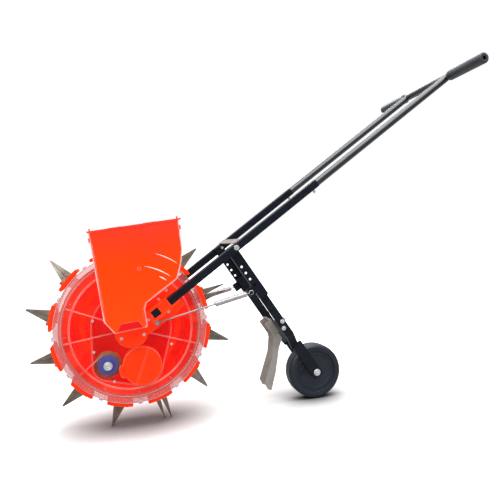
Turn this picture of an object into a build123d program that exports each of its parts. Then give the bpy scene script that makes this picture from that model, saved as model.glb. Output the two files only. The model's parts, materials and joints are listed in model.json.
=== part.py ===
from build123d import *
import os
from math import atan2, cos, degrees, hypot, pi, radians, sin, tan

# Push seeder: a drum of seed-dropping beaks under a side hopper, pushed by a two-tube handle
# and followed by a press wheel. Millimetres. While modelling, the drum axle is the Y axis, +X points
# back to the operator, +Z up and -Y is the hopper's side. At export everything moves together, so that
# the origin is on the ground at the middle of the machine's box.

# ---- driving dimensions ----
BEAKS = 12
BEAK_STEP = 360 / BEAKS
TIP_RADIUS = 265
TIP_ANGLE = 15
SHOE_OUTER = 203.5
SHOE_INNER = 194.5
RIM_OUTER = 190
RIM_INNER = 178
RING_INNER = 154
DRUM_HALF = 56
COVER_RADIUS = 172
COVER_FACE = -60
COVER_BACK = -57
COVER_RIBS = [(157, 46), (187.5, 46), (217.5, 96), (341, 46), (10, 110)]
COVER_RIB_END = 168
CHAMBER_BACK = 34
CHAMBER_SCREWS = [(-93, 29), (-96, -49), (-52, -128), (97, -50)]
HUB_BOLTS = [(-27.5, -14.4), (27.5, -14.4)]
BRACKET_BOLTS = [(43.4, 19.1), (76.3, 64.9), (96, 30.4), (98.9, 84)]
AXLE_RADIUS = 8
RUNNING = 0.05
STANCE = 4.7

ROLLER_AT = (20, -97)
ROLLER_RADIUS = 49
BRUSH_AT = (-64.5, -88)
BRUSH_RADIUS = 34.5
GEAR_MODULE = 3
PRESSURE_ANGLE = 20
ADDENDUM = 0.7 * GEAR_MODULE
DEDENDUM = 1.1 * GEAR_MODULE
BACKLASH = 0.35
RING_TEETH = 80
PINION_TEETH = 14

HANDLE_ANGLE = 34
HANDLE_LENGTH = 1100
HANDLE_JOINT = 605
TUBE = 20
TUBE_Y = 110
PIVOT_ALONG = 330
SLEEVE_END = 113
PLATE_ALONG = (334, 352)
BAR_RADIUS = 10
GRIP_RADIUS = 14
GRIP_LENGTH = 149
BAR_HALF = 270

STRUT_ANGLE = 59
STRUT_LENGTH = 425
RAIL_WIDE = 26
RAIL_SHIFT = -9
RAIL_END = 150
HOLE_PITCH = 19.4
WHEEL_RADIUS = 75
WHEEL_HALF = 25
ROD_HOOK = (62.5, 14)
ROD_ANCHOR = (119, -32)
ROD_Y = -102
CLAMP_LOW = -24
BLADE_INNER = 24.9
BLADE_OUTER = 27.4
BLADE_TURN = -1.5
BEND_HEIGHT = -80
BLADE = [
    (366, -20), (386, -10), (402, -74), (391, -101), (376, -167), (360, -214), (350, -210), (343, -194),
    (371, -118), (377, -77),
]

HOPPER_FRONT = -150
HOPPER_BACK = -66
HOPPER_TOP = 252
SEAM = -109
WALL = 2.5
LID_PIN = (HOPPER_BACK + 7, HOPPER_TOP + 4)
HOPPER_OUTLINE = [
    (-62, HOPPER_TOP), (153, HOPPER_TOP), (151, 180), (144, 149), (128, 110), (45, 64),
    (38, 50), (38, 6), (-40, 4), (-60, 35),
]

OPEN_BEAKS = (0, 9)
JAW_OPEN = 14
JAW_PIN = (207, 18)
BEAK_SHEET = 1.2

nodes = {}


# ---- small helpers ----
def slab(sketch, low_y, high_y):
    """A flat XZ sketch made solid between two Y positions."""
    return extrude(Plane.XZ.offset(-high_y) * sketch, high_y - low_y, dir=(0, -1, 0))


def disc(radius, at, low_y, high_y):
    return slab(Pos(*at) * Circle(radius), low_y, high_y)


def ring(outer, inner, low_y, high_y, at=(0, 0)):
    return slab(Pos(*at) * (Circle(outer) - Circle(inner)), low_y, high_y)


def block(low, high):
    """A box between two corners."""
    size = [b - a for a, b in zip(low, high)]
    centre = [(a + b) / 2 for a, b in zip(low, high)]
    return Pos(*centre) * Box(*size)


def outline(points, corner=0):
    face = Polygon(*points, align=None)
    return fillet(face.vertices(), corner) if corner else face


def polar(radius, angle):
    return (radius * cos(radians(angle)), radius * sin(radians(angle)))


def polar_angle(at):
    return degrees(atan2(at[1], at[0]))


def turned(shape, angle):
    """Turned about the drum axle, counter-clockwise seen from the hopper's side."""
    return Rot(0, -angle, 0) * shape


def leaning(shape):
    """The fixed covers, hopper and brackets all stand leaning by the stance angle."""
    return turned(shape, STANCE)


def on_handle(shape):
    """From handle coordinates (x along the tubes from the axle) to the machine."""
    return turned(shape, HANDLE_ANGLE)


PIVOT = polar(PIVOT_ALONG, HANDLE_ANGLE)


def on_strut(shape):
    """From strut coordinates (x down the strut from its pivot, z to its rear) to the machine."""
    return Pos(PIVOT[0], 0, PIVOT[1]) * turned(shape, -STRUT_ANGLE)


def both_sides(shape):
    return [shape, mirror(shape, Plane.XZ)]


def group(shapes):
    """Separate solids of one node."""
    return Compound(children=[s for shape in shapes for s in shape.solids()])


def bolt(at, head_y, end_y, shank=3, head=6.5, head_long=4):
    """A hexagon-headed bolt along Y, with its head towards the hopper's side."""
    hexagon = slab(Pos(*at) * RegularPolygon(head, 6), head_y, head_y + head_long)
    washer = disc(head + 1.5, at, head_y + head_long, head_y + head_long + 1)
    return hexagon + washer + disc(shank, at, head_y + head_long, end_y)


# ---- seed drum: turns on the axle ----
def make_drum():
    segments = Circle(RIM_INNER) - Circle(RING_INNER)
    joint_line = Pos((RIM_INNER + RING_INNER) / 2 + 6, 0) * Rectangle(RIM_INNER - RING_INNER, 1.2)
    duct = block((RING_INNER - 2, -12, -13), (SHOE_OUTER, 12, 13))
    drum_ring = slab(segments, -50, 50)
    lug_shape = Pos(RIM_OUTER + 2, 0) * Rectangle(5, 9)
    rim = ring(RIM_OUTER, RIM_INNER, -DRUM_HALF, DRUM_HALF)
    rim += ring(RIM_INNER, COVER_RADIUS - 4, -DRUM_HALF, -52)
    for k in range(BEAKS):
        angle = beak_angle(k)
        between = Rot(0, 0, angle + BEAK_STEP / 2)
        drum_ring -= slab(between * joint_line, -50, 50)
        drum_ring -= turned(duct, angle)
        rim -= turned(duct, angle)
        rim += slab(between * lug_shape, -52, -40)
    nodes["drum_ring"] = drum_ring
    nodes["clear_rim"] = rim
    far_disc = ring(RIM_INNER, 14, 50, DRUM_HALF) + ring(32, 14, DRUM_HALF, 66)
    for angle in range(0, 360, 60):
        far_disc -= disc(22, polar(70, angle), 49, DRUM_HALF + 1)
    rib = Pos(135, 0) * Rectangle(74, 3)
    for k in range(BEAKS):
        far_disc += slab(Rot(0, 0, k * BEAK_STEP) * rib, DRUM_HALF, DRUM_HALF + 4)
        far_disc += disc(4.5, polar(166, (k + 0.5) * BEAK_STEP), DRUM_HALF, DRUM_HALF + 3)
    nodes["far_disc"] = far_disc
    nodes["far_bush"] = ring(14, AXLE_RADIUS + RUNNING, 48, 66)


def beak_angle(k):
    """The middle of each beak's base; its tip lies a little clockwise of it."""
    return TIP_ANGLE + 2.5 + k * BEAK_STEP


def make_shoes():
    shoes = []
    plate = Circle(SHOE_OUTER) - Circle(SHOE_INNER)
    wedge = Polygon((0, 0), polar(260, -9.5), polar(260, 9.5), align=None)
    curved = fillet(slab(plate & wedge, -42, 42).edges().filter_by(Axis.Y), 3.5)
    foot_wedge = Polygon((0, 0), polar(260, -5.5), polar(260, 5.5), align=None)
    foot = slab((Circle(SHOE_INNER) - Circle(RIM_OUTER)) & foot_wedge, -36, 36)
    mouth = block((180, -11.6, -16), (SHOE_OUTER + 9, 11.6, 16))
    pin_x, pin_z = JAW_PIN
    ear = block((SHOE_OUTER - 3, 12, pin_z - 4), (pin_x + 4, 14.5, pin_z + 4))
    ears = ear + mirror(ear, Plane.XZ)
    shoe = curved + foot - mouth + ears
    shoe -= disc(1.5, JAW_PIN, -20, 20)
    for k in range(BEAKS):
        shoes.append(turned(shoe, beak_angle(k)))
    nodes["shoes"] = group(shoes)


def beak_half(base, tip, start, open_side):
    """Half of a hollow steel beak, open along its split face. x is radial and z is along the rim."""
    half_base, half_tip, past = 11.4, 1.6, 2

    def section(x, limits, half):
        low, high = limits
        return Plane.YZ.offset(x) * (Pos(0, (low + high) / 2) * Rectangle(2 * half, high - low))

    def hollow(limits, wall):
        low, high = limits
        return (low + wall, high + past) if open_side > 0 else (low - past, high - wall)

    outer = loft([section(start, base, half_base), section(TIP_RADIUS, tip, half_tip)])
    inner = loft([
        section(start - 1, hollow(base, BEAK_SHEET), half_base - BEAK_SHEET),
        section(TIP_RADIUS - 9, hollow(tip, BEAK_SHEET / 2), 1.2),
    ])
    return outer - inner


def make_beaks():
    fixed = beak_half((-16, -0.15), (-12, -10.2), SHOE_INNER, 1)
    moving = beak_half((0.15, 16), (-9.9, -8.1), SHOE_OUTER + 0.4, -1)
    pin_x, pin_z = JAW_PIN
    barrel = disc(3.2, JAW_PIN, -11.4, 11.4)
    web = block((pin_x - 2.5, -11.4, 13), (pin_x + 2, 11.4, pin_z))
    jaw = moving + barrel + web - disc(1.5 + RUNNING, JAW_PIN, -20, 20)
    hinge = Pos(pin_x, 0, pin_z)
    fixed_halves, pins = [], []
    pin = disc(1.5, JAW_PIN, -16, 16) + disc(2.6, JAW_PIN, -17.5, -16)
    for k in range(BEAKS):
        opened = JAW_OPEN if k in OPEN_BEAKS else 0
        posed = hinge * turned(Pos(-pin_x, 0, -pin_z) * jaw, opened)
        nodes[f"beak_jaw_{k + 1:02d}"] = turned(posed, beak_angle(k))
        fixed_halves.append(turned(fixed, beak_angle(k)))
        pins.append(turned(pin, beak_angle(k)))
    nodes["fixed_beaks"] = group(fixed_halves)
    nodes["jaw_pins"] = group(pins)


def gear_outline(teeth, phase, tip, root):
    """A gear's edge as a polygon of straight-flanked teeth; the tips lie inside the roots on a ring gear."""
    pitch = GEAR_MODULE * teeth / 2
    flank = tan(radians(PRESSURE_ANGLE)) * (1 if tip > root else -1)
    points = []
    for k in range(teeth):
        middle = phase + 360 * k / teeth
        for radius, side in ((root, -1), (tip, -1), (tip, 1), (root, 1)):
            half = pi * GEAR_MODULE / 4 - BACKLASH - (radius - pitch) * flank
            points.append(polar(radius, middle + side * degrees(half / radius)))
    return Polygon(*points, align=None)


def make_gears():
    ring_pitch = GEAR_MODULE * RING_TEETH / 2
    pinion_pitch = GEAR_MODULE * PINION_TEETH / 2
    toward = polar_angle(ROLLER_AT)
    hole = gear_outline(RING_TEETH, toward + 180 / RING_TEETH, ring_pitch - ADDENDUM, ring_pitch + DEDENDUM)
    nodes["ring_gear"] = slab(Circle(134) - hole, 40, 50)
    pinion = gear_outline(PINION_TEETH, toward, pinion_pitch + ADDENDUM, pinion_pitch - DEDENDUM)
    nodes["roller_pinion"] = slab(Pos(*ROLLER_AT) * (pinion - Circle(6)), 40, 49)


# ---- fixed centre: cover, seed chamber, metering roller, brush ----
def chamber_outline(shrink):
    """A round middle drawn out round the brush and the roller."""
    edges = Circle(100 - shrink).edges()
    edges += (Pos(*BRUSH_AT) * Circle(38 - shrink)).edges()
    edges += (Pos(*ROLLER_AT) * Circle(52.5 - shrink)).edges()
    return make_hull(edges)


def make_cover():
    cover = disc(COVER_RADIUS, (0, 0), COVER_FACE, COVER_BACK)
    cover += ring(153, 150, COVER_FACE - 3, COVER_FACE)
    for angle, start in COVER_RIBS:
        middle = (start + COVER_RIB_END) / 2
        rib = Rot(0, 0, angle) * (Pos(middle, 0) * Rectangle(COVER_RIB_END - start, 2))
        cover += slab(rib, COVER_FACE - 2.5, COVER_FACE)
    cover -= disc(48.4, ROLLER_AT, -80, -50)
    cover -= leaning(block((-32, -80, 14), (32, -50, 60)))
    cover -= disc(3, BRUSH_AT, -80, -50)
    nodes["side_cover"] = cover


def make_chamber():
    shell = slab(chamber_outline(0), COVER_BACK, CHAMBER_BACK)
    shell -= slab(chamber_outline(2.2), COVER_BACK - 1, CHAMBER_BACK - 2.5)
    shell -= disc(AXLE_RADIUS, (0, 0), 0, 60)
    shell -= disc(6 + RUNNING, ROLLER_AT, 0, 60)
    outlet = Pos(*ROLLER_AT) * (Rot(0, 0, -70) * (Pos(52, 0) * Rectangle(20, 30)))
    shell -= slab(outlet, -50, -24)
    nodes["seed_chamber"] = shell


def make_roller():
    roller = disc(ROLLER_RADIUS, ROLLER_AT, -54, -22) + disc(6, ROLLER_AT, -22, 49)
    for k in range(BEAKS):
        dx, dz = polar(ROLLER_RADIUS + 1, k * BEAK_STEP)
        roller -= Pos(ROLLER_AT[0] + dx, -38, ROLLER_AT[1] + dz) * Sphere(6)
    nodes["seed_roller"] = roller
    face = disc(48, ROLLER_AT, -66, -57)
    ear = slab(Pos(*ROLLER_AT) * (Rot(0, 0, 190) * (Pos(46, 0) * RectangleRounded(22, 32, 9))), -66, -60.4)
    bar = slab(Pos(*ROLLER_AT) * (Rot(0, 0, 67) * RectangleRounded(92, 5, 2.4)), -69, -66)
    nodes["roller_cap"] = face + ear + bar


def make_brush():
    hub = ring(25, 12, -50, -30, BRUSH_AT) + ring(14, 3 + RUNNING, -56, -24, BRUSH_AT)
    nodes["brush_hub"] = hub
    bristles = Circle(BRUSH_RADIUS) - Circle(25)
    gap = Pos(BRUSH_RADIUS - 2, 0) * Rectangle(8, 2.2)
    for angle in range(0, 360, 15):
        bristles -= Rot(0, 0, angle) * gap
    nodes["brush_bristles"] = slab(Pos(*BRUSH_AT) * bristles, -50, -30)
    pin = disc(3, BRUSH_AT, COVER_FACE - 1, CHAMBER_BACK - 2.5)
    head = disc(11, BRUSH_AT, COVER_FACE - 3, COVER_FACE - 0.01)
    nodes["brush_bolt"] = pin + head


def make_axle():
    nodes["axle"] = disc(AXLE_RADIUS, (0, 0), -53, 112) + disc(14, (0, 0), COVER_BACK, -53)
    hexagon = RegularPolygon(15, 6) - Circle(AXLE_RADIUS)
    collar = ring(16, AXLE_RADIUS, 70, 86)
    nodes["axle_nut"] = group([slab(hexagon, 96, 106), collar])


# ---- brackets that carry the handle ----
def bracket_outline():
    arm = outline([
        (0, -4), (36, -18), (98, 13), (138, 42), (112, 96), (48, 57), (40.5, 46), (40.5, 1), (0, 1),
    ])
    hub = Pos(-1, -3) * Circle(40)
    above = Pos(0, 51) * Rectangle(200, 100)
    return (hub - above) + arm


def make_bracket():
    """The hopper-side bracket: a plate with a square sleeve that the handle tube slides into."""
    half = TUBE / 2
    inner, outer = -TUBE_Y + half, -TUBE_Y - half
    wide = half + 5
    sleeve = block((54, outer - 4, -wide), (SLEEVE_END, -96, wide))
    sleeve += block((SLEEVE_END, inner, -wide), (138, -96, wide))
    sleeve += block((SLEEVE_END, outer + 4, -wide), (138, inner, -half))
    sleeve -= block((57, outer, -half), (400, inner, half))
    sleeve -= block((62, outer - 9, -half), (84, outer, half))
    for along in range(88, 103, 5):
        for side in (-1, 1):
            low_z, high_z = sorted((side * (wide - 4), side * (wide + 1)))
            sleeve -= block((along, outer - 9, low_z), (along + 2, outer - 1.5, high_z))
    return leaning(slab(bracket_outline(), -96, -86)) + on_handle(sleeve)


def make_brackets():
    near = make_bracket()
    far = mirror(near, Plane.XZ) + ring(20, AXLE_RADIUS, 86, 96)
    nodes["near_bracket"] = near
    nodes["far_bracket"] = far - disc(AXLE_RADIUS, (0, 0), 80, 120)
    spacer_outline = Pos(-1, -3) * Circle(41) - Pos(0, 51.2) * Rectangle(200, 100)
    nodes["hub_spacer"] = leaning(slab(spacer_outline, -86, COVER_FACE))


def make_screws():
    """The dome heads of the screws in the cover, the hub, the brackets and the tube joints."""
    screws = [disc(3.4, at, COVER_FACE - 2.5, COVER_FACE) for at in CHAMBER_SCREWS]
    screws += [leaning(disc(4, at, -100, -96)) for at in HUB_BOLTS]
    for at in BRACKET_BOLTS:
        screws += both_sides(leaning(disc(3.8, at, -99, -96)))
    stud = Pos(HANDLE_JOINT - 18, -TUBE_Y, -TUBE / 2 - 4) * Cylinder(3.5, 8)
    nodes["frame_screws"] = group(screws + both_sides(on_handle(stud)))
    nodes["hook_pins"] = group(both_sides(disc(3, ROD_HOOK, -108, -96)))


# ---- hopper: two moulded halves joined at a flange, with a hinged lid ----
def make_hopper():
    full = fillet(outline(HOPPER_OUTLINE).vertices(), 3)
    top_band = Pos(45.5, HOPPER_TOP - 15) * Rectangle(205, 30)
    body = offset(full, -5) + top_band
    cavity = offset(full, -5 - WALL) + Pos(45.5, HOPPER_TOP - 10) * Rectangle(200, 30)
    front = slab(body, HOPPER_FRONT, SEAM) + slab(full, SEAM - 3, SEAM)
    front -= slab(cavity, HOPPER_FRONT + WALL, SEAM + 1)
    front += disc(4, (40, 150), HOPPER_FRONT - 2, HOPPER_FRONT)
    back = slab(body, SEAM, HOPPER_BACK) + slab(full, SEAM, SEAM + 3)
    back -= slab(cavity, SEAM - 1, HOPPER_BACK - WALL)
    back -= block((-28, -80, 18), (28, -60, 55))
    for start in (-40, 105):
        knuckle = block((start, HOPPER_BACK, HOPPER_TOP - 12), (start + 18, LID_PIN[0] + 3, LID_PIN[1] + 2))
        back += knuckle - lid_pin_shape(1.5, 240)
    back += block((-31, HOPPER_BACK, 15), (31, -52, 58)) - block((-28, -70, 18), (28, -40, 55))
    nodes["hopper_front"] = leaning(front)
    nodes["hopper_back"] = leaning(back)
    window = outline([(-34, 11), (30, 11), (18, 28), (-22, 28)], 3)
    nodes["hopper_window"] = leaning(slab(window, HOPPER_FRONT - 1.5, HOPPER_FRONT))


def lid_pin_shape(radius, length):
    """A cylinder along X on the lid's hinge line."""
    return Pos(44, LID_PIN[0], LID_PIN[1]) * Rot(0, 90, 0) * Cylinder(radius, length)


def make_lid():
    plate = block((-65, HOPPER_FRONT - 3, HOPPER_TOP + 0.3), (156, HOPPER_BACK - 1, HOPPER_TOP + 3.3))
    rim = block((-52, HOPPER_FRONT + 6, HOPPER_TOP - 7), (143, HOPPER_BACK - 8, HOPPER_TOP + 0.3))
    rim -= block((-50, HOPPER_FRONT + 8, HOPPER_TOP - 8), (141, HOPPER_BACK - 10, HOPPER_TOP + 0.3))
    lid = plate + rim
    for start in (-18, 70):
        low, high = (start, HOPPER_BACK - 3, HOPPER_TOP + 0.3), (start + 34, LID_PIN[0] + 3, LID_PIN[1] + 3)
        knuckle = block(low, high)
        lid += knuckle - lid_pin_shape(1.5 + RUNNING, 240)
    for at in (-62, 150):
        lid += block((at, -112, HOPPER_TOP + 3.3), (at + 3, -104, HOPPER_TOP + 10))
    nodes["hopper_lid"] = leaning(lid)
    nodes["lid_pin"] = leaning(lid_pin_shape(1.5, 172))
    clips = []
    for low, high in ((-66, -62), (153, 157)):
        clips.append(leaning(block((low, SEAM - 4, HOPPER_TOP - 23), (high, SEAM + 4, HOPPER_TOP - 12))))
    nodes["seam_clips"] = group(clips)


# ---- handle ----
def make_handle():
    half = TUBE / 2
    lower = RectangleRounded(TUBE, TUBE, 2.5) - RectangleRounded(TUBE - 3, TUBE - 3, 1.5)
    tube = extrude(Plane.YZ.offset(57) * (Pos(-TUBE_Y, 0) * lower), HANDLE_JOINT - 57)
    tube -= disc(4, (PIVOT_ALONG, 0), -140, -80)
    nodes["lower_tubes"] = group(both_sides(on_handle(tube)))
    bore = half - 1.5
    inner_plug = Pos(-TUBE_Y, 0) * (Circle(bore) - Circle(bore - 1.2))
    wall = Pos(-TUBE_Y, 0) * (Circle(half) - Circle(bore))
    upper = extrude(Plane.YZ.offset(HANDLE_JOINT) * wall, HANDLE_LENGTH - HANDLE_JOINT)
    upper += extrude(Plane.YZ.offset(HANDLE_JOINT - 60) * inner_plug, 64)
    upper -= disc(BAR_RADIUS, (HANDLE_LENGTH, 0), -300, 300)
    nodes["upper_tubes"] = group(both_sides(on_handle(upper)))
    bar = disc(BAR_RADIUS, (HANDLE_LENGTH, 0), -BAR_HALF + 3, BAR_HALF - 3)
    bar -= disc(BAR_RADIUS - 1.5, (HANDLE_LENGTH, 0), -BAR_HALF, BAR_HALF)
    nodes["crossbar"] = on_handle(bar)
    for side, name in ((-1, "grip_near"), (1, "grip_far")):
        low, high = sorted((side * BAR_HALF, side * (BAR_HALF - GRIP_LENGTH)))
        grip = fillet(disc(GRIP_RADIUS, (HANDLE_LENGTH, 0), low, high).edges(), 4)
        grip -= disc(BAR_RADIUS, (HANDLE_LENGTH, 0), -BAR_HALF + 3, BAR_HALF - 3)
        grip -= disc(5, (HANDLE_LENGTH, 0), low - 1, high + 1)
        nodes[name] = on_handle(grip)
    brace = block((PLATE_ALONG[0], -TUBE_Y - 6, half), (PLATE_ALONG[1], TUBE_Y + 6, half + 2))
    nodes["cross_plate"] = on_handle(fillet(brace.edges().filter_by(Axis.Z), 4))
    pivot = bolt((PIVOT_ALONG, 0), -125, -84, 4, 5.5, 4)
    nodes["pivot_bolts"] = group(both_sides(on_handle(pivot)))


# ---- rear strut: perforated rails on the pivots, with a fork that slides in them ----
def make_strut():
    low_edge, high_edge = RAIL_SHIFT - RAIL_WIDE / 2, RAIL_SHIFT + RAIL_WIDE / 2
    flat = outline([(-9, low_edge), (RAIL_END, low_edge), (RAIL_END, high_edge), (-9, high_edge)], 3)
    rail = slab(flat, -97, -85)
    rail -= block((12, -94.5, low_edge + WALL), (RAIL_END + 1, -84, high_edge - WALL))
    rail -= disc(4 + RUNNING, (0, 0), -100, -80)
    for k in range(4):
        rail -= disc(3.2, (51 + k * HOLE_PITCH, -14), -100, -80)
    anchor = block((108, -97, -38), (130, -86, low_edge)) + disc(3, ROD_ANCHOR, -110, -97)
    nodes["rails"] = group(both_sides(on_strut(rail + anchor)))


def make_fork():
    """Two bars that slide along the rails' inner faces, bend in to the wheel and share a bridge."""
    upper = [(100, -82), (278, -82), (326, -38), (330, -38), (330, -32), (323, -32), (275, -76), (100, -76)]
    arm = Pos(0, 0, -20) * extrude(outline(upper), 22) + block((323, -38, -16), (437, -32, 13))
    arm -= disc(5, (STRUT_LENGTH, 0), -60, 0)
    bridge = block((232, -76, -20), (262, 76, -15))
    nodes["wheel_fork"] = on_strut(arm + mirror(arm, Plane.XZ) + bridge)
    bolts = []
    for at in ((236, -5.5), (253, -13)):
        head = bolt(at, -86.5, -76, 3, 4.5, 3.5) - disc(9, at, -82, -76)
        bolts += both_sides(on_strut(head))
    bolts += both_sides(on_strut(Pos(233, -79, 4.5) * Cylinder(4, 4.8)))
    wing = Pos(250, 0, -7) * Cylinder(3, 20) + Pos(250, 0, 4) * Box(5, 26, 9)
    bolts.append(on_strut(wing - block((240, -30, -30), (260, 30, -15))))
    nodes["fork_bolts"] = group(bolts)


def make_coverers():
    """Two thin bent blades hung under the fork, which draw soil over the seed."""
    plate = slab(outline(BLADE), -BLADE_OUTER, -BLADE_INNER)
    below = block((300, -60, -300), (450, 0, BEND_HEIGHT))
    bend = Pos(0, -BLADE_INNER, BEND_HEIGHT)
    tip = bend * Rot(BLADE_TURN, 0, 0) * Pos(0, BLADE_INNER, -BEND_HEIGHT) * (plate & below)
    above_clamp = on_strut(block((200, -40, CLAMP_LOW - RUNNING), (320, 40, 30)))
    nodes["coverer_blades"] = group(both_sides((plate - below) + tip - above_clamp))
    base = block((226, -30, CLAMP_LOW), (268, 30, -20 - RUNNING))
    cheek = block((226, -30, -42), (268, -27.5, CLAMP_LOW))
    nodes["coverer_bracket"] = on_strut(base + cheek + mirror(cheek, Plane.XZ))


# ---- press wheel ----
def make_wheel():
    at = (STRUT_LENGTH, 0)
    rim = fillet(disc(WHEEL_RADIUS, at, -WHEEL_HALF, WHEEL_HALF).edges(), 11)
    dish = ring(58, 15, -WHEEL_HALF - 1, -WHEEL_HALF + 5, at)
    step = ring(50, 46, -WHEEL_HALF + 4, -WHEEL_HALF + 7, at)
    wheel = rim - dish - mirror(dish, Plane.XZ) + step + mirror(step, Plane.XZ)
    wheel -= ring(70, 20, -16, 16, at)
    wheel += ring(15, 5, -WHEEL_HALF - 5, WHEEL_HALF + 5, at)
    wheel -= disc(5 + RUNNING, at, -60, 60)
    plug_dx, plug_dz = polar(33.6, 165.3 + STRUT_ANGLE)
    plug_at = (STRUT_LENGTH + plug_dx, plug_dz)
    wheel -= disc(15, plug_at, -WHEEL_HALF - 1, -15)
    nodes["press_wheel"] = on_strut(wheel)
    slot = slab(Pos(*plug_at) * (Rot(0, 0, 100) * Rectangle(22, 3)), -30, -21.5)
    plug = disc(15, plug_at, -WHEEL_HALF + 1.5, -16) - slot
    nodes["filler_plug"] = on_strut(plug)
    nut = slab(Pos(*at) * RegularPolygon(8, 6), 38, 44)
    nodes["wheel_bolt"] = on_strut(bolt(at, -44, 42, 5, 8, 5) + nut)


# ---- tension struts: a hooked rod on each bracket pulls on the rail through a sleeve ----
def make_springs():
    reach, bearing = hypot(*ROD_ANCHOR), polar_angle(ROD_ANCHOR) - STRUT_ANGLE
    anchor_dx, anchor_dz = polar(reach, bearing)
    dx, dz = PIVOT[0] + anchor_dx - ROD_HOOK[0], PIVOT[1] + anchor_dz - ROD_HOOK[1]
    span, angle = hypot(dx, dz), polar_angle((dx, dz))
    place = Pos(ROD_HOOK[0], ROD_Y, ROD_HOOK[1])
    rod = Pos(100, 0, 0) * Rot(0, 90, 0) * Cylinder(2.2, 192) + disc(6.5, (0, 0), -2.5, 2.5)
    rod -= disc(3 + RUNNING, (0, 0), -4, 4)
    sleeve_mid = (150 + span - 12) / 2
    sleeve = Pos(sleeve_mid, 0, 0) * Rot(0, 90, 0) * Cylinder(7.5, span - 12 - 150)
    sleeve -= Pos(sleeve_mid - 6, 0, 0) * Rot(0, 90, 0) * Cylinder(4.2, span - 12 - 150)
    sleeve += disc(7, (span, 0), -3, 3) + block((span - 14, -3, -3), (span, 3, 3))
    sleeve -= disc(3 + RUNNING, (span, 0), -8, 8)
    for name, shape in (("rod", rod), ("sleeve", sleeve)):
        near, far = both_sides(place * turned(shape, angle))
        nodes[f"spring_{name}_near"] = near
        nodes[f"spring_{name}_far"] = far


def export_nodes():
    """Moves the origin to the ground at the middle of the box, and writes one file per node."""
    boxes = [shape.bounding_box() for shape in nodes.values()]
    low = [min(getattr(b.min, axis) for b in boxes) for axis in "XYZ"]
    high = [max(getattr(b.max, axis) for b in boxes) for axis in "XYZ"]
    shift = Pos(-(low[0] + high[0]) / 2, -(low[1] + high[1]) / 2, -low[2])
    for name, shape in nodes.items():
        moved = shift * shape
        export_step(moved if len(moved.solids()) > 1 else moved.solids()[0], f"parts/{name}.step")


os.makedirs("parts", exist_ok=True)
make_drum()
make_shoes()
make_beaks()
make_gears()
make_cover()
make_chamber()
make_roller()
make_brush()
make_axle()
make_brackets()
make_screws()
make_hopper()
make_lid()
make_handle()
make_strut()
make_fork()
make_coverers()
make_wheel()
make_springs()
export_nodes()
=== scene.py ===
import json
import math
import random

import bmesh
import bpy
from mathutils import Matrix, Vector


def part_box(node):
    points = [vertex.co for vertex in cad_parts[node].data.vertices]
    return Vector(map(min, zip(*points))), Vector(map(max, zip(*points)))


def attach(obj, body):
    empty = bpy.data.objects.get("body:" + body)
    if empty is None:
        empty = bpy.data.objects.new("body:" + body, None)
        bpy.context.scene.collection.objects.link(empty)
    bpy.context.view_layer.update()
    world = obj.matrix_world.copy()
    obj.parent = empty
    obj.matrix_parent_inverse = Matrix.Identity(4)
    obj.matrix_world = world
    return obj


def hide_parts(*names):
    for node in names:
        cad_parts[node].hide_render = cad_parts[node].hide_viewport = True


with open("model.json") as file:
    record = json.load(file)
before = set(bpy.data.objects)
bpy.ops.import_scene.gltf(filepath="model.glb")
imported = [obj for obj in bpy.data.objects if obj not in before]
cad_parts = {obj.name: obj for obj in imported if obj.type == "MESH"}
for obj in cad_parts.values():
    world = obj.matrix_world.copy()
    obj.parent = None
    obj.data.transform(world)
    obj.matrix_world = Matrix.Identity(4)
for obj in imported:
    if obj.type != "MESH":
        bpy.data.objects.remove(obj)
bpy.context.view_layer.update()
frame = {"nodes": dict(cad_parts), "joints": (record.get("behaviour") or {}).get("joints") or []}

NODES = frame["nodes"]
MM = 0.001
JOINT_AT = {joint["name"]: Vector(joint["pos_m"]) for joint in frame["joints"] if "pos_m" in joint}
AXLE = JOINT_AT["drum_spin"]
HOPPER_SIDE = Vector((0, -1, 0))
SEGMENTS = 24  # blocks round the drum's ring
# A Mix node's colour sockets share their names with others, so they go by place.
MIX_A, MIX_B, MIX_OUT = 6, 7, 2

# ---- materials ----


def new_material(name):
    material = bpy.data.materials.new(name)
    material.use_nodes = True
    tree = material.node_tree
    return material, tree, tree.nodes["Principled BSDF"]


def set_inputs(shader, values):
    for key, value in values.items():
        shader.inputs[key].default_value = value


def object_place(tree, offset=(0, 0, 0), stretch=(1, 1, 1)):
    """Object coordinates, which are in metres and move with the piece."""
    where = tree.nodes.new("ShaderNodeTexCoord")
    mapping = tree.nodes.new("ShaderNodeMapping")
    mapping.inputs["Location"].default_value = offset
    mapping.inputs["Scale"].default_value = stretch
    tree.links.new(where.outputs["Object"], mapping.inputs["Vector"])
    return mapping.outputs["Vector"]


def noise(tree, scale, detail=4.0, roughness=0.55, stretch=(1, 1, 1)):
    texture = tree.nodes.new("ShaderNodeTexNoise")
    texture.inputs["Scale"].default_value = scale
    texture.inputs["Detail"].default_value = detail
    texture.inputs["Roughness"].default_value = roughness
    tree.links.new(object_place(tree, stretch=stretch), texture.inputs["Vector"])
    return texture.outputs["Fac"]


def ramp(tree, source, stops):
    """A colour ramp over source; stops are (position, colour)."""
    node = tree.nodes.new("ShaderNodeValToRGB")
    elements = node.color_ramp.elements
    while len(elements) < len(stops):
        elements.new(0.5)
    for element, (position, colour) in zip(elements, stops):
        element.position = position
        element.color = (*colour, 1)
    tree.links.new(source, node.inputs["Fac"])
    return node.outputs["Color"]


def rescale(tree, source, low, high, from_low=0.0, from_high=1.0):
    node = tree.nodes.new("ShaderNodeMapRange")
    node.inputs["From Min"].default_value = from_low
    node.inputs["From Max"].default_value = from_high
    node.inputs["To Min"].default_value = low
    node.inputs["To Max"].default_value = high
    tree.links.new(source, node.inputs["Value"])
    return node.outputs["Result"]


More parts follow.
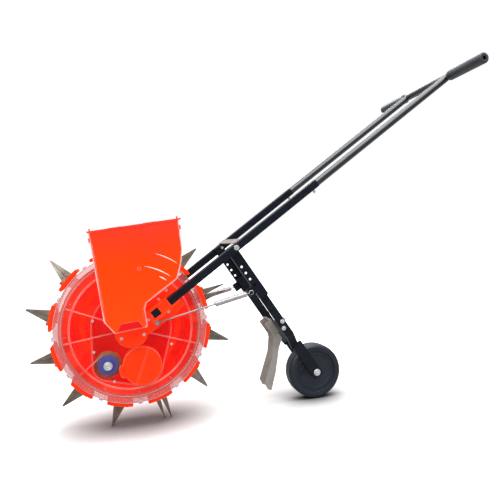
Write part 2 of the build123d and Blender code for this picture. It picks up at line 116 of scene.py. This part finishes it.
def arithmetic(tree, operation, first, second):
    node = tree.nodes.new("ShaderNodeMath")
    node.operation = operation
    tree.links.new(first, node.inputs[0])
    if isinstance(second, (int, float)):
        node.inputs[1].default_value = second
    else:
        tree.links.new(second, node.inputs[1])
    return node.outputs["Value"]


def mix_colours(tree, share, first, second, blend="MIX"):
    """Mixes two colours by share, which is a number or a socket; so is second, or it is a plain colour."""
    node = tree.nodes.new("ShaderNodeMix")
    node.data_type = "RGBA"
    node.blend_type = blend
    if isinstance(share, (int, float)):
        node.inputs[0].default_value = share
    else:
        tree.links.new(share, node.inputs[0])
    tree.links.new(first, node.inputs[MIX_A])
    if isinstance(second, tuple):
        node.inputs[MIX_B].default_value = (*second, 1)
    else:
        tree.links.new(second, node.inputs[MIX_B])
    return node.outputs[MIX_OUT]


def relief(tree, shader, height, strength, distance, edge=0.0):
    """Bump from height, over edges that look rounded by edge metres."""
    node = tree.nodes.new("ShaderNodeBump")
    node.inputs["Strength"].default_value = strength
    node.inputs["Distance"].default_value = distance
    tree.links.new(height, node.inputs["Height"])
    if edge:
        bevel = tree.nodes.new("ShaderNodeBevel")
        bevel.samples = 6
        bevel.inputs["Radius"].default_value = edge
        tree.links.new(bevel.outputs["Normal"], node.inputs["Normal"])
    tree.links.new(node.outputs["Normal"], shader.inputs["Normal"])


def moulded_plastic(name, light, dark, rough=(0.25, 0.42), painted_glow=0.0, gloss=0.18, edge=0.8 * MM):
    """Moulded plastic: cloudy colour, faint flow marks, soft edges; the glow argument is painted light, an
    emission of the colour that stands for light scattered in it.
    """
    material, tree, shader = new_material(name)
    cloud = ramp(tree, noise(tree, 9, 3), [(0.3, dark), (0.7, light)])
    speck = ramp(tree, noise(tree, 260, 5, 0.7), [(0.35, (0.86, 0.86, 0.86)), (0.6, (1, 1, 1))])
    colour = mix_colours(tree, 0.5, cloud, speck, "MULTIPLY")
    tree.links.new(colour, shader.inputs["Base Color"])
    tree.links.new(rescale(tree, noise(tree, 45, 5), *rough), shader.inputs["Roughness"])
    set_inputs(shader, {"Specular IOR Level": gloss, "Coat Weight": 0.06, "Coat Roughness": 0.15})
    shader.inputs["Emission Strength"].default_value = painted_glow
    tree.links.new(colour, shader.inputs["Emission Color"])
    relief(tree, shader, noise(tree, 160, 4, stretch=(1, 0.3, 1)), 0.12, 0.6 * MM, edge)
    return material


def hopper_plastic(name):
    """Tinted plastic that is redder towards its rim, with soft vertical flow marks."""
    material, tree, shader = new_material(name)
    low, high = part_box("hopper_front")
    split = tree.nodes.new("ShaderNodeSeparateXYZ")
    tree.links.new(object_place(tree), split.inputs["Vector"])
    height = rescale(tree, split.outputs["Z"], 0, 1, low.z, high.z)
    marks = rescale(tree, noise(tree, 16, 4, 0.6, (1, 1, 0.35)), -0.16, 0.16)
    level = arithmetic(tree, "ADD", height, marks)
    colour = ramp(tree, level, [(0.0, (1.0, 0.052, 0.001)), (0.62, (1.0, 0.044, 0.001)),
                                (0.86, (0.93, 0.036, 0.008)), (1.0, (0.86, 0.036, 0.016))])
    tree.links.new(colour, shader.inputs["Base Color"])
    tree.links.new(rescale(tree, noise(tree, 60, 5), 0.14, 0.3), shader.inputs["Roughness"])
    set_inputs(shader, {"Specular IOR Level": 0.15, "Coat Weight": 0.1, "Coat Roughness": 0.08})
    # Painted glow: emission of the colour stands for light scattered in the tinted plastic.
    shader.inputs["Emission Strength"].default_value = 0.4
    tree.links.new(colour, shader.inputs["Emission Color"])
    relief(tree, shader, noise(tree, 26, 2), 0.25, 1.2 * MM, 1.2 * MM)
    return material


def segment_plastic(name):
    """The drum's segments: each block of the ring is a slightly different red."""
    material, tree, shader = new_material(name)
    split = tree.nodes.new("ShaderNodeSeparateXYZ")
    tree.links.new(object_place(tree, -AXLE), split.inputs["Vector"])
    turn = arithmetic(tree, "ARCTAN2", split.outputs["Z"], split.outputs["X"])
    block = arithmetic(tree, "FLOOR", arithmetic(tree, "MULTIPLY", turn, SEGMENTS / (2 * math.pi)), 0)
    shade = tree.nodes.new("ShaderNodeTexWhiteNoise")
    shade.noise_dimensions = "1D"
    tree.links.new(block, shade.inputs["W"])
    blocks = ramp(tree, shade.outputs["Value"], [(0.1, (0.7, 0.008, 0.004)), (0.9, (1.0, 0.06, 0.03))])
    cloud = ramp(tree, noise(tree, 14, 4), [(0.3, (0.8, 0.015, 0.006)), (0.7, (1.0, 0.045, 0.018))])
    colour = mix_colours(tree, 0.25, blocks, cloud)
    tree.links.new(colour, shader.inputs["Base Color"])
    tree.links.new(rescale(tree, noise(tree, 40, 4), 0.25, 0.45), shader.inputs["Roughness"])
    # Painted glow: emission of the colour stands for light scattered in the red plastic.
    shader.inputs["Emission Strength"].default_value = 0.35
    shader.inputs["Specular IOR Level"].default_value = 0.15
    tree.links.new(colour, shader.inputs["Emission Color"])
    relief(tree, shader, noise(tree, 90, 3), 0.15, 0.8 * MM, 1 * MM)
    return material


def clear_plastic(name, tint, face_alpha, edge_alpha, rough=0.1):
    """Thin clear plastic: see-through face on, denser at a glancing angle, with scuffs that catch light."""
    material, tree, shader = new_material(name)
    colour = ramp(tree, noise(tree, 14, 4), [(0.3, tuple(0.85 * c for c in tint)), (0.75, tint)])
    tree.links.new(colour, shader.inputs["Base Color"])
    facing = tree.nodes.new("ShaderNodeLayerWeight")
    facing.inputs["Blend"].default_value = 0.3
    dense = rescale(tree, facing.outputs["Facing"], face_alpha, edge_alpha)
    scuffs = rescale(tree, noise(tree, 24, 8, 0.75, (1, 1, 2.5)), 0, 0.16, 0.55, 0.8)
    tree.links.new(arithmetic(tree, "ADD", dense, scuffs), shader.inputs["Alpha"])
    tree.links.new(rescale(tree, noise(tree, 60, 5), rough, rough + 0.16), shader.inputs["Roughness"])
    set_inputs(shader, {"Coat Weight": 0.3, "Coat Roughness": 0.04, "Specular IOR Level": 0.5})
    relief(tree, shader, noise(tree, 30, 3), 0.3, 1.2 * MM)
    return material


def glint_plastic(name, colour, alpha, painted_glow=0.15):
    """Painted highlights for the edges of the clear and tinted parts: a pale colour with a little glow that
    stands in for the glints there.
    """
    material, tree, shader = new_material(name)
    patches = noise(tree, 7, 3, 0.6)
    tone = ramp(tree, patches, [(0.35, tuple(0.75 * c for c in colour)), (0.65, colour)])
    tree.links.new(tone, shader.inputs["Base Color"])
    tree.links.new(rescale(tree, patches, 0.35 * alpha, alpha, 0.36, 0.62), shader.inputs["Alpha"])
    set_inputs(shader, {"Roughness": 0.12, "Coat Weight": 0.6, "Emission Strength": painted_glow})
    tree.links.new(tone, shader.inputs["Emission Color"])
    return material


def black_enamel(name, gloss, coat, edge=0.8 * MM):
    """Gloss black enamel with orange peel, faint scuffs and duller patches."""
    material, tree, shader = new_material(name)
    scuff = noise(tree, 30, 8, 0.7, (1, 1, 3))
    colour = ramp(tree, scuff, [(0.35, (0.0025, 0.004, 0.009)), (0.8, (0.009, 0.013, 0.023))])
    tree.links.new(colour, shader.inputs["Base Color"])
    tree.links.new(rescale(tree, scuff, 0.24, 0.4), shader.inputs["Roughness"])
    set_inputs(shader, {"Coat Weight": coat, "Coat Roughness": 0.24, "Coat IOR": 1.55})
    shader.inputs["Specular IOR Level"].default_value = gloss
    relief(tree, shader, noise(tree, 120, 2), 0.03, 0.3 * MM, edge)
    return material


def bare_metal(name, light, dark, stain, rough, metallic=0.85, stretch=(1, 1, 8), edge=0.5 * MM):
    """Bare or plated metal with drawn grain, dull stains and fine scratches."""
    material, tree, shader = new_material(name)
    grain = noise(tree, 120, 6, 0.65, stretch)
    patches = ramp(tree, noise(tree, 22, 6, 0.7), [(0.28, stain), (0.45, dark), (0.72, light)])
    scratches = ramp(tree, noise(tree, 400, 3, 0.6, stretch), [(0.4, (0.75, 0.75, 0.75)), (0.6, (1, 1, 1))])
    colour = mix_colours(tree, 0.6, patches, scratches, "MULTIPLY")
    tree.links.new(colour, shader.inputs["Base Color"])
    tree.links.new(rescale(tree, grain, rough * 0.6, rough * 1.5), shader.inputs["Roughness"])
    shader.inputs["Metallic"].default_value = metallic
    relief(tree, shader, grain, 0.2, 0.3 * MM, edge)
    return material


def foam(name):
    """Closed-cell foam: dark, with fine cells, a slight sheen and a soft gloss."""
    material, tree, shader = new_material(name)
    cells = tree.nodes.new("ShaderNodeTexVoronoi")
    cells.inputs["Scale"].default_value = 700
    tree.links.new(object_place(tree), cells.inputs["Vector"])
    colour = ramp(tree, noise(tree, 40, 5), [(0.3, (0.012, 0.015, 0.02)), (0.75, (0.04, 0.045, 0.055))])
    tree.links.new(colour, shader.inputs["Base Color"])
    set_inputs(shader, {"Roughness": 0.36, "Sheen Weight": 0.2, "Sheen Roughness": 0.4})
    set_inputs(shader, {"Coat Weight": 0.35, "Coat Roughness": 0.3})
    relief(tree, shader, cells.outputs["Distance"], 0.35, 0.6 * MM)
    return material


def make_plastics():
    return {
        "orange": moulded_plastic("orange_plastic", (1.0, 0.04, 0.001), (0.93, 0.03, 0.001), painted_glow=0.45),
        "segment": segment_plastic("segment_plastic"),
        "hopper": hopper_plastic("hopper_plastic"),
        "dark_red": moulded_plastic("dark_red_plastic", (0.72, 0.007, 0.006), (0.55, 0.004, 0.004),
                                    painted_glow=0.55),
        "clear": clear_plastic("clear_plastic", (1.0, 0.09, 0.06), 0.04, 0.36),
        "rim": clear_plastic("rim_plastic", (0.84, 0.27, 0.25), 0.46, 0.85),
        "wheel": moulded_plastic("wheel_plastic", (0.012, 0.019, 0.034), (0.006, 0.009, 0.017), (0.3, 0.5),
                                 gloss=0.5, edge=2.5 * MM),
        "plug": moulded_plastic("plug_plastic", (0.024, 0.03, 0.042), (0.014, 0.018, 0.026), (0.4, 0.6),
                                edge=1 * MM),
        "blue": moulded_plastic("blue_plastic", (0.02, 0.15, 0.6), (0.012, 0.1, 0.4), (0.35, 0.5), 0.12),
        "bristle": moulded_plastic("bristle_nylon", (0.6, 0.56, 0.25), (0.2, 0.18, 0.08), (0.5, 0.7), edge=0),
    }


def make_glint_plastics():
    return {
        "pale_glint": glint_plastic("pale_glint", (1.0, 0.84, 0.8), 1.0, 0.3),
        "cover_glint": glint_plastic("cover_glint", (1.0, 0.62, 0.56), 0.75, 0.2),
        "pink_glint": glint_plastic("pink_glint", (0.95, 0.3, 0.24), 0.8),
        "lilac_glint": glint_plastic("lilac_glint", (0.62, 0.52, 0.58), 0.9, 0.05),
        "orange_glint": glint_plastic("orange_glint", (1.0, 0.2, 0.08), 0.7),
    }


def make_metals_and_foam():
    even = (1, 1, 1)
    return {
        "black": black_enamel("black_enamel", 0.2, 0.12),
        "black_round": black_enamel("black_tube", 0.5, 1.0, 0),
        "foam": foam("grip_foam"),
        "beak": bare_metal("beak_steel", (0.5, 0.46, 0.39), (0.27, 0.235, 0.185), (0.13, 0.1, 0.075), 0.34),
        "blade": bare_metal("blade_steel", (0.6, 0.55, 0.5), (0.46, 0.42, 0.38), (0.34, 0.3, 0.27), 0.42,
                            0.6),
        "zinc": bare_metal("zinc_plate", (0.93, 0.95, 0.95), (0.8, 0.82, 0.82), (0.6, 0.61, 0.6), 0.28, 0.7),
        "rod": bare_metal("rod_steel", (0.56, 0.56, 0.56), (0.42, 0.42, 0.42), (0.3, 0.3, 0.29), 0.3, 0.8,
                          even, 0),
        "spring": bare_metal("spring_steel", (0.8, 0.8, 0.8), (0.66, 0.66, 0.66), (0.5, 0.5, 0.48), 0.3, 0.75,
                             even, 0),
    }


MATERIAL_OF = {
    "orange": ("shoes", "near_bracket", "far_bracket", "roller_cap", "seam_clips", "roller_pinion",
               "ring_gear"),
    "segment": ("drum_ring", "far_disc", "seed_roller"),
    "hopper": ("hopper_front", "hopper_back", "hopper_lid"),
    "dark_red": ("seed_chamber", "hopper_window"),
    "clear": ("side_cover",),
    "rim": ("clear_rim",),
    "black": ("lower_tubes", "rails", "wheel_fork", "hub_spacer"),
    "black_round": ("upper_tubes", "crossbar"),
    "wheel": ("press_wheel",),
    "plug": ("filler_plug",),
    "foam": ("grip_near", "grip_far"),
    "beak": ("fixed_beaks", "jaw_pins", "axle", "far_bush"),
    "blade": ("coverer_blades", "coverer_bracket", "cross_plate"),
    "zinc": ("axle_nut", "brush_bolt", "frame_screws", "hook_pins", "lid_pin", "pivot_bolts", "fork_bolts",
             "wheel_bolt"),
    "rod": ("spring_rod_near", "spring_rod_far"),
    "spring": ("spring_sleeve_near", "spring_sleeve_far"),
    "blue": ("brush_hub",),
    "bristle": ("brush_bristles",),
}


def give(piece, material):
    piece.data.materials.clear()
    piece.data.materials.append(material)


def paint_nodes(materials):
    for key, names in MATERIAL_OF.items():
        for name in names:
            give(NODES[name], materials[key])
    for name, piece in NODES.items():
        if name.startswith("beak_jaw"):
            give(piece, materials["beak"])


# ---- mesh pieces ----


def add_piece(name, parts, material, body, smooth=True):
    """One piece from several (verts, faces) lists, riding on a body."""
    verts, faces = [], []
    for part_verts, part_faces in parts:
        start = len(verts)
        verts += [tuple(v) for v in part_verts]
        faces += [tuple(start + i for i in face) for face in part_faces]
    mesh = bpy.data.meshes.new(name)
    mesh.from_pydata(verts, [], faces)
    mesh.polygons.foreach_set("use_smooth", [smooth] * len(mesh.polygons))
    piece = bpy.data.objects.new(name, mesh)
    bpy.context.scene.collection.objects.link(piece)
    give(piece, material)
    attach(piece, body)
    return piece


def tube_faces(rings, sides):
    """Faces that join rings of points, numbered one ring after the other, with a cap on each end."""
    faces = []
    for i in range(rings - 1):
        for k in range(sides):
            a, b = i * sides + k, i * sides + (k + 1) % sides
            faces.append((a, b, b + sides, a + sides))
    last = (rings - 1) * sides
    faces.append(tuple(range(sides))[::-1])
    faces.append(tuple(range(last, last + sides)))
    return faces


def sweep(path, radius, sides=8):
    """A round bar along a path of points; radius is one number, or one for each point."""
    radii = radius if isinstance(radius, list) else [radius] * len(path)
    verts = []
    side = None
    for i, point in enumerate(path):
        ahead = (path[min(i + 1, len(path) - 1)] - path[max(i - 1, 0)]).normalized()
        side = side or ahead.orthogonal()
        side = (side - ahead * side.dot(ahead)).normalized()
        other = ahead.cross(side)
        for k in range(sides):
            turn = 2 * math.pi * k / sides
            verts.append(point + (side * math.cos(turn) + other * math.sin(turn)) * radii[i])
    return verts, tube_faces(len(path), sides)


def lathe(profile, centre, axis, sides=40):
    """A solid turned about axis through centre; profile is (along, radius) pairs in millimetres."""
    side = axis.orthogonal().normalized()
    other = axis.cross(side)
    verts = []
    for along, radius in profile:
        for k in range(sides):
            turn = 2 * math.pi * k / sides
            out = side * math.cos(turn) + other * math.sin(turn)
            verts.append(centre + (axis * along + out * radius) * MM)
    return verts, tube_faces(len(profile), sides)


def from_axle(radius, degrees, y):
    """A point round the drum axle, counter-clockwise from the rear as seen from the hopper's side."""
    turn = math.radians(degrees)
    return Vector((AXLE.x + radius * MM * math.cos(turn), y, AXLE.z + radius * MM * math.sin(turn)))


def axle_radius(point):
    return math.hypot(point.x - AXLE.x, point.z - AXLE.z)


def sharp_runs(node, keep, fold=0.5):
    """A node's outward edges that fold by over fold radians, where keep(point) is true, as point runs."""
    work = bmesh.new()
    work.from_mesh(NODES[node].data)
    bmesh.ops.remove_doubles(work, verts=work.verts, dist=0.01 * MM)
    work.verts.index_update()
    places = [v.co.copy() for v in work.verts]
    around, left = {}, set()
    for edge in work.edges:
        if len(edge.link_faces) != 2 or edge.calc_face_angle_signed(0) < fold:
            continue
        a, b = edge.verts
        if keep(a.co) and keep(b.co):
            around.setdefault(a.index, []).append(b.index)
            around.setdefault(b.index, []).append(a.index)
            left.add(frozenset((a.index, b.index)))
    work.free()
    runs = []
    for start in sorted(around, key=lambda v: (len(around[v]) == 2, v)):
        for first in around[start]:
            if frozenset((start, first)) not in left:
                continue
            run = [start, first]
            left.remove(frozenset(run))
            while len(around[run[-1]]) == 2:
                ahead = [v for v in around[run[-1]] if frozenset((run[-1], v)) in left]
                if not ahead:
                    break
                left.remove(frozenset((run[-1], ahead[0])))
                run.append(ahead[0])
            runs.append([places[v] for v in run])
    return runs


def glint_beads(name, node, keep, radius, material, body):
    """Painted highlights: fine pale beads along the sharp edges of a clear or tinted part, standing in for
    the glints on them.
    """
    parts = [sweep(run, radius * MM, 6) for run in sharp_runs(node, keep)]
    return add_piece(name, parts, material, body)


def make_edge_glints(materials):
    """Beads that paint highlights on the edges that show; each face is found by its place across the machine.
    """
    hopper_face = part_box("hopper_front")[0].y + 3 * MM
    flange_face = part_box("hopper_front")[1].y - 4 * MM
    cover_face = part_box("side_cover")[1].y - 2.9 * MM
    chamber_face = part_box("seed_chamber")[0].y + 0.2 * MM
    rim_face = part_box("clear_rim")[0].y + 4.1 * MM
    ring_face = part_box("drum_ring")[0].y + 0.2 * MM
    bracket_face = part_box("near_bracket")[1].y - 9.8 * MM
    cap_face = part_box("roller_cap")[1].y - 3 * MM
    inside, outside = 44 * MM, 175 * MM
    pale, pink = materials["pale_glint"], materials["pink_glint"]
    glint_beads("hopper_face_edges", "hopper_front", lambda p: p.y < hopper_face, 0.9, pink, "frame")
    glint_beads("hopper_flange_edges", "hopper_front", lambda p: flange_face < p.y < flange_face + 2 * MM, 1.7,
               pale, "frame")
    glint_beads("window_edges", "hopper_window", lambda p: True, 0.5, pink, "frame")
    glint_beads("cover_edges", "side_cover", lambda p: p.y < cover_face and axle_radius(p) > inside, 0.45,
               materials["cover_glint"], "frame")
    glint_beads("chamber_edges", "seed_chamber", lambda p: p.y < chamber_face, 0.8, pink, "frame")
    glint_beads("bracket_edges", "near_bracket", lambda p: p.y < bracket_face, 0.45, materials["orange_glint"],
               "frame")
    glint_beads("cap_edges", "roller_cap", lambda p: p.y < cap_face, 0.8, materials["orange_glint"], "cap")
    glint_beads("segment_edges", "drum_ring", lambda p: p.y < ring_face, 0.7, pink, "drum")
    glint_beads("rim_edges", "clear_rim", lambda p: p.y < rim_face and axle_radius(p) > outside, 0.8,
               materials["lilac_glint"], "drum")


def make_bristles(material):
    """Rings of fine bristles standing out of the brush hub, a little uneven."""
    random.seed(7)
    low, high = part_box("brush_bristles")
    centre = (low + high) / 2
    outer = (high.x - low.x) / 2
    length, wire = 11 * MM, 0.6 * MM
    rows, per_row = 9, 40
    parts = []
    for row in range(rows):
        y = low.y + (high.y - low.y) * (row + 0.5) / rows
        for k in range(per_row):
            turn = 2 * math.pi * (k + 0.5 * (row % 2)) / per_row + random.uniform(-0.02, 0.02)
            tip_turn = turn + random.uniform(-0.05, 0.05)
            reach = outer - random.uniform(0, 1.6) * MM
            root = centre + Vector((math.cos(turn), 0, math.sin(turn))) * (outer - length)
            tip = centre + Vector((math.cos(tip_turn), 0, math.sin(tip_turn))) * reach
            root.y = y
            tip.y = y + random.uniform(-0.6, 0.6) * MM
            parts.append(sweep([root, (root + tip) / 2, tip], wire, 4))
    piece = add_piece("bristle_ring", parts, material, "brush", False)
    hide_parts("brush_bristles")


def make_tension_spring(side, material):
    """A close-wound coil with a hooked end, which slides on the rod."""
    hook = JOINT_AT[f"rod_pivot_{side}"]
    anchor = JOINT_AT[f"sleeve_pivot_{side}"]
    ahead = (anchor - hook).normalized()
    across = Vector((0, 1, 0))
    up = ahead.cross(across)
    wire, coil, pitch = 1.2 * MM, 6.2 * MM, 1.75 * MM
    coil_start, coil_end_gap = 152 * MM, 14 * MM
    hook_radius, hook_turn, hook_steps = 5.2 * MM, 300, 14
    first = hook + ahead * coil_start
    length = (anchor - first).length - coil_end_gap
    turns = int(length / pitch)
    steps = 16
    winding = []
    for i in range(turns * steps + 1):
        turn = 2 * math.pi * i / steps
        along = first + ahead * length * i / (turns * steps)
        winding.append(along + (across * math.cos(turn) + up * math.sin(turn)) * coil)
    end = first + ahead * length
    loop = [end + across * coil, end + ahead * 2 * MM + across * coil * 0.6, end + ahead * 5 * MM]
    for i in range(hook_steps + 1):
        turn = math.radians(180 - hook_turn * i / hook_steps)
        loop.append(anchor + (ahead * math.cos(turn) + up * math.sin(turn)) * hook_radius)
    parts = [sweep(winding, wire, 6), sweep(loop, 1.5 * MM, 8)]
    piece = add_piece(f"tension_spring_{side}", parts, material, f"sleeve_{side}")
    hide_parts(f"spring_sleeve_{side}")


def make_hopper_ring_glints(material):
    """Painted highlights on the hopper's face: faint pale arcs round the drum's centre, standing in for the
    drum's rings glinting through it, that thin out at both ends.
    """
    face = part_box("hopper_front")[0].y + 2 * MM
    thickest, thinnest, steps = 1.2 * MM, 0.15, 26
    parts = []
    for radius, first, last in ((198, 53, 70), (163, 52, 76), (150, 53, 61)):
        path = [from_axle(radius, first + (last - first) * i / steps, face) for i in range(steps + 1)]
        thick = [(thinnest + math.sin(math.pi * i / steps)) * thickest for i in range(steps)]
        thick.append(thinnest * MM)
        parts.append(sweep(path, thick, 8))
    add_piece("hopper_ring_glints", parts, material, "frame")


def make_bolt_rings(material):
    """The turned rings on the brush bolt's broad head."""
    low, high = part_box("brush_bolt")
    centre = Vector(((low.x + high.x) / 2, low.y, (low.z + high.z) / 2))
    profile = [(-0.5, 10.4), (0.9, 9.6), (0.9, 7.4), (0.2, 6.8), (0.2, 5.8), (1.2, 5.2), (1.2, 3.2),
               (0.4, 2.6), (0.4, 0.4)]
    add_piece("brush_bolt_rings", [lathe(profile, centre, HOPPER_SIDE)], material, "frame")


# ---- stage, light and camera ----


def camera_ray(tree):
    return tree.nodes.new("ShaderNodeLightPath").outputs["Is Camera Ray"]


def add_area(name, place, target, size, power):
    light = bpy.data.lights.new(name, "AREA")
    light.shape = "RECTANGLE"
    light.size, light.size_y = size
    light.energy = power
    lamp = bpy.data.objects.new(name, light)
    lamp.location = place
    lamp.rotation_euler = (Vector(target) - Vector(place)).to_track_quat("-Z", "Y").to_euler()
    bpy.context.scene.collection.objects.link(lamp)


def make_floor():
    """A wide pale floor with a painted contact shadow under the object, which fades into the backdrop.

    It looks grey to everything but the camera, so that it lights the underside only a little.
    """
    mesh = bpy.data.meshes.new("floor")
    reach = 40
    corners = [(-reach, -reach, 0), (reach, -reach, 0), (reach, reach, 0), (-reach, reach, 0)]
    mesh.from_pydata(corners, [], [(0, 1, 2, 3)])
    floor = bpy.data.objects.new("floor", mesh)
    bpy.context.scene.collection.objects.link(floor)
    material, tree, shader = new_material("pale_floor")
    pale = ramp(tree, noise(tree, 0.8, 2), [(0.3, (0.94, 0.94, 0.94)), (0.7, (0.97, 0.97, 0.97))])
    grey = ramp(tree, noise(tree, 0.8, 2), [(0.3, (0.3, 0.3, 0.3)), (0.7, (0.32, 0.32, 0.32))])
    # Painted contact shadow: ambient occlusion darkens the floor's colour under the object.
    painted_contact_shadow = tree.nodes.new("ShaderNodeAmbientOcclusion")
    painted_contact_shadow.inputs["Distance"].default_value = 0.16
    shade = arithmetic(tree, "POWER", painted_contact_shadow.outputs["AO"], 2.2)
    seen = mix_colours(tree, 1.0, pale, shade, "MULTIPLY")
    tree.links.new(mix_colours(tree, camera_ray(tree), grey, seen), shader.inputs["Base Color"])
    away = tree.nodes.new("ShaderNodeVectorMath")
    away.operation = "LENGTH"
    tree.links.new(object_place(tree), away.inputs[0])
    fade = arithmetic(tree, "MULTIPLY", rescale(tree, away.outputs["Value"], 0.15, 0.8, 0.3, 1.5), shade)
    tree.links.new(arithmetic(tree, "MULTIPLY", fade, camera_ray(tree)), shader.inputs["Emission Strength"])
    set_inputs(shader, {"Roughness": 0.95, "Specular IOR Level": 0.0, "Emission Color": (1, 1, 1, 1)})
    give(floor, material)


def make_world():
    """A white backdrop for the camera; for light and reflections it is bright above, dim at the horizon."""
    world = bpy.data.worlds.new("studio")
    bpy.context.scene.world = world
    world.use_nodes = True
    tree = world.node_tree
    background = tree.nodes["Background"]
    split = tree.nodes.new("ShaderNodeSeparateXYZ")
    tree.links.new(tree.nodes.new("ShaderNodeTexCoord").outputs["Generated"], split.inputs["Vector"])
    height = rescale(tree, split.outputs["Z"], 0, 1, -1, 1)
    dome = ramp(tree, height, [(0.45, (0.16, 0.17, 0.19)), (0.56, (0.3, 0.31, 0.33)),
                               (0.8, (0.85, 0.85, 0.86)), (1.0, (1, 1, 1))])
    tree.links.new(mix_colours(tree, camera_ray(tree), dome, (1.0, 1.0, 1.0)), background.inputs["Color"])


def make_lights():
    add_area("top_softbox", (0.1, -0.3, 2.6), (0, 0, 0.2), (2.2, 1.6), 40)
    add_area("front_softbox", (-1.6, -2.8, 1.7), (-0.2, 0, 0.3), (1.2, 1.2), 26)
    add_area("rear_strip", (1.2, 2.4, 2.0), (0.1, 0, 0.4), (2.2, 0.5), 14)
    add_area("handle_softbox", (0.3, -1.6, 2.4), (0.4, 0, 0.6), (2.6, 1.1), 28)


def make_camera():
    """The camera is low, on the hopper's side, turned a little to the handle and rolled a few degrees."""
    yaw, pitch, roll = math.radians(13.17), math.radians(-1.30), math.radians(-4.2)
    forward = Vector((math.sin(yaw) * math.cos(pitch), math.cos(yaw) * math.cos(pitch), math.sin(pitch)))
    level = Vector((math.cos(yaw), -math.sin(yaw), 0))
    above = level.cross(forward)
    right = level * math.cos(roll) + above * math.sin(roll)
    up = above * math.cos(roll) - level * math.sin(roll)
    data = bpy.data.cameras.new("camera")
    data.lens = 39.43
    camera = bpy.data.objects.new("camera", data)
    bpy.context.scene.collection.objects.link(camera)
    place = AXLE + Vector((-9.6, -1475.9, 207.6)) * MM
    camera.matrix_world = Matrix.Translation(place) @ Matrix((right, up, -forward)).transposed().to_4x4()
    bpy.context.scene.camera = camera


# ---- build ----
MATERIALS = make_plastics() | make_glint_plastics() | make_metals_and_foam()
paint_nodes(MATERIALS)
make_edge_glints(MATERIALS)
make_bristles(MATERIALS["bristle"])
make_tension_spring("near", MATERIALS["spring"])
make_tension_spring("far", MATERIALS["spring"])
make_hopper_ring_glints(MATERIALS["pale_glint"])
make_bolt_rings(MATERIALS["zinc"])
make_floor()
make_world()
make_lights()
make_camera()
bpy.context.scene.view_settings.view_transform = "Standard"
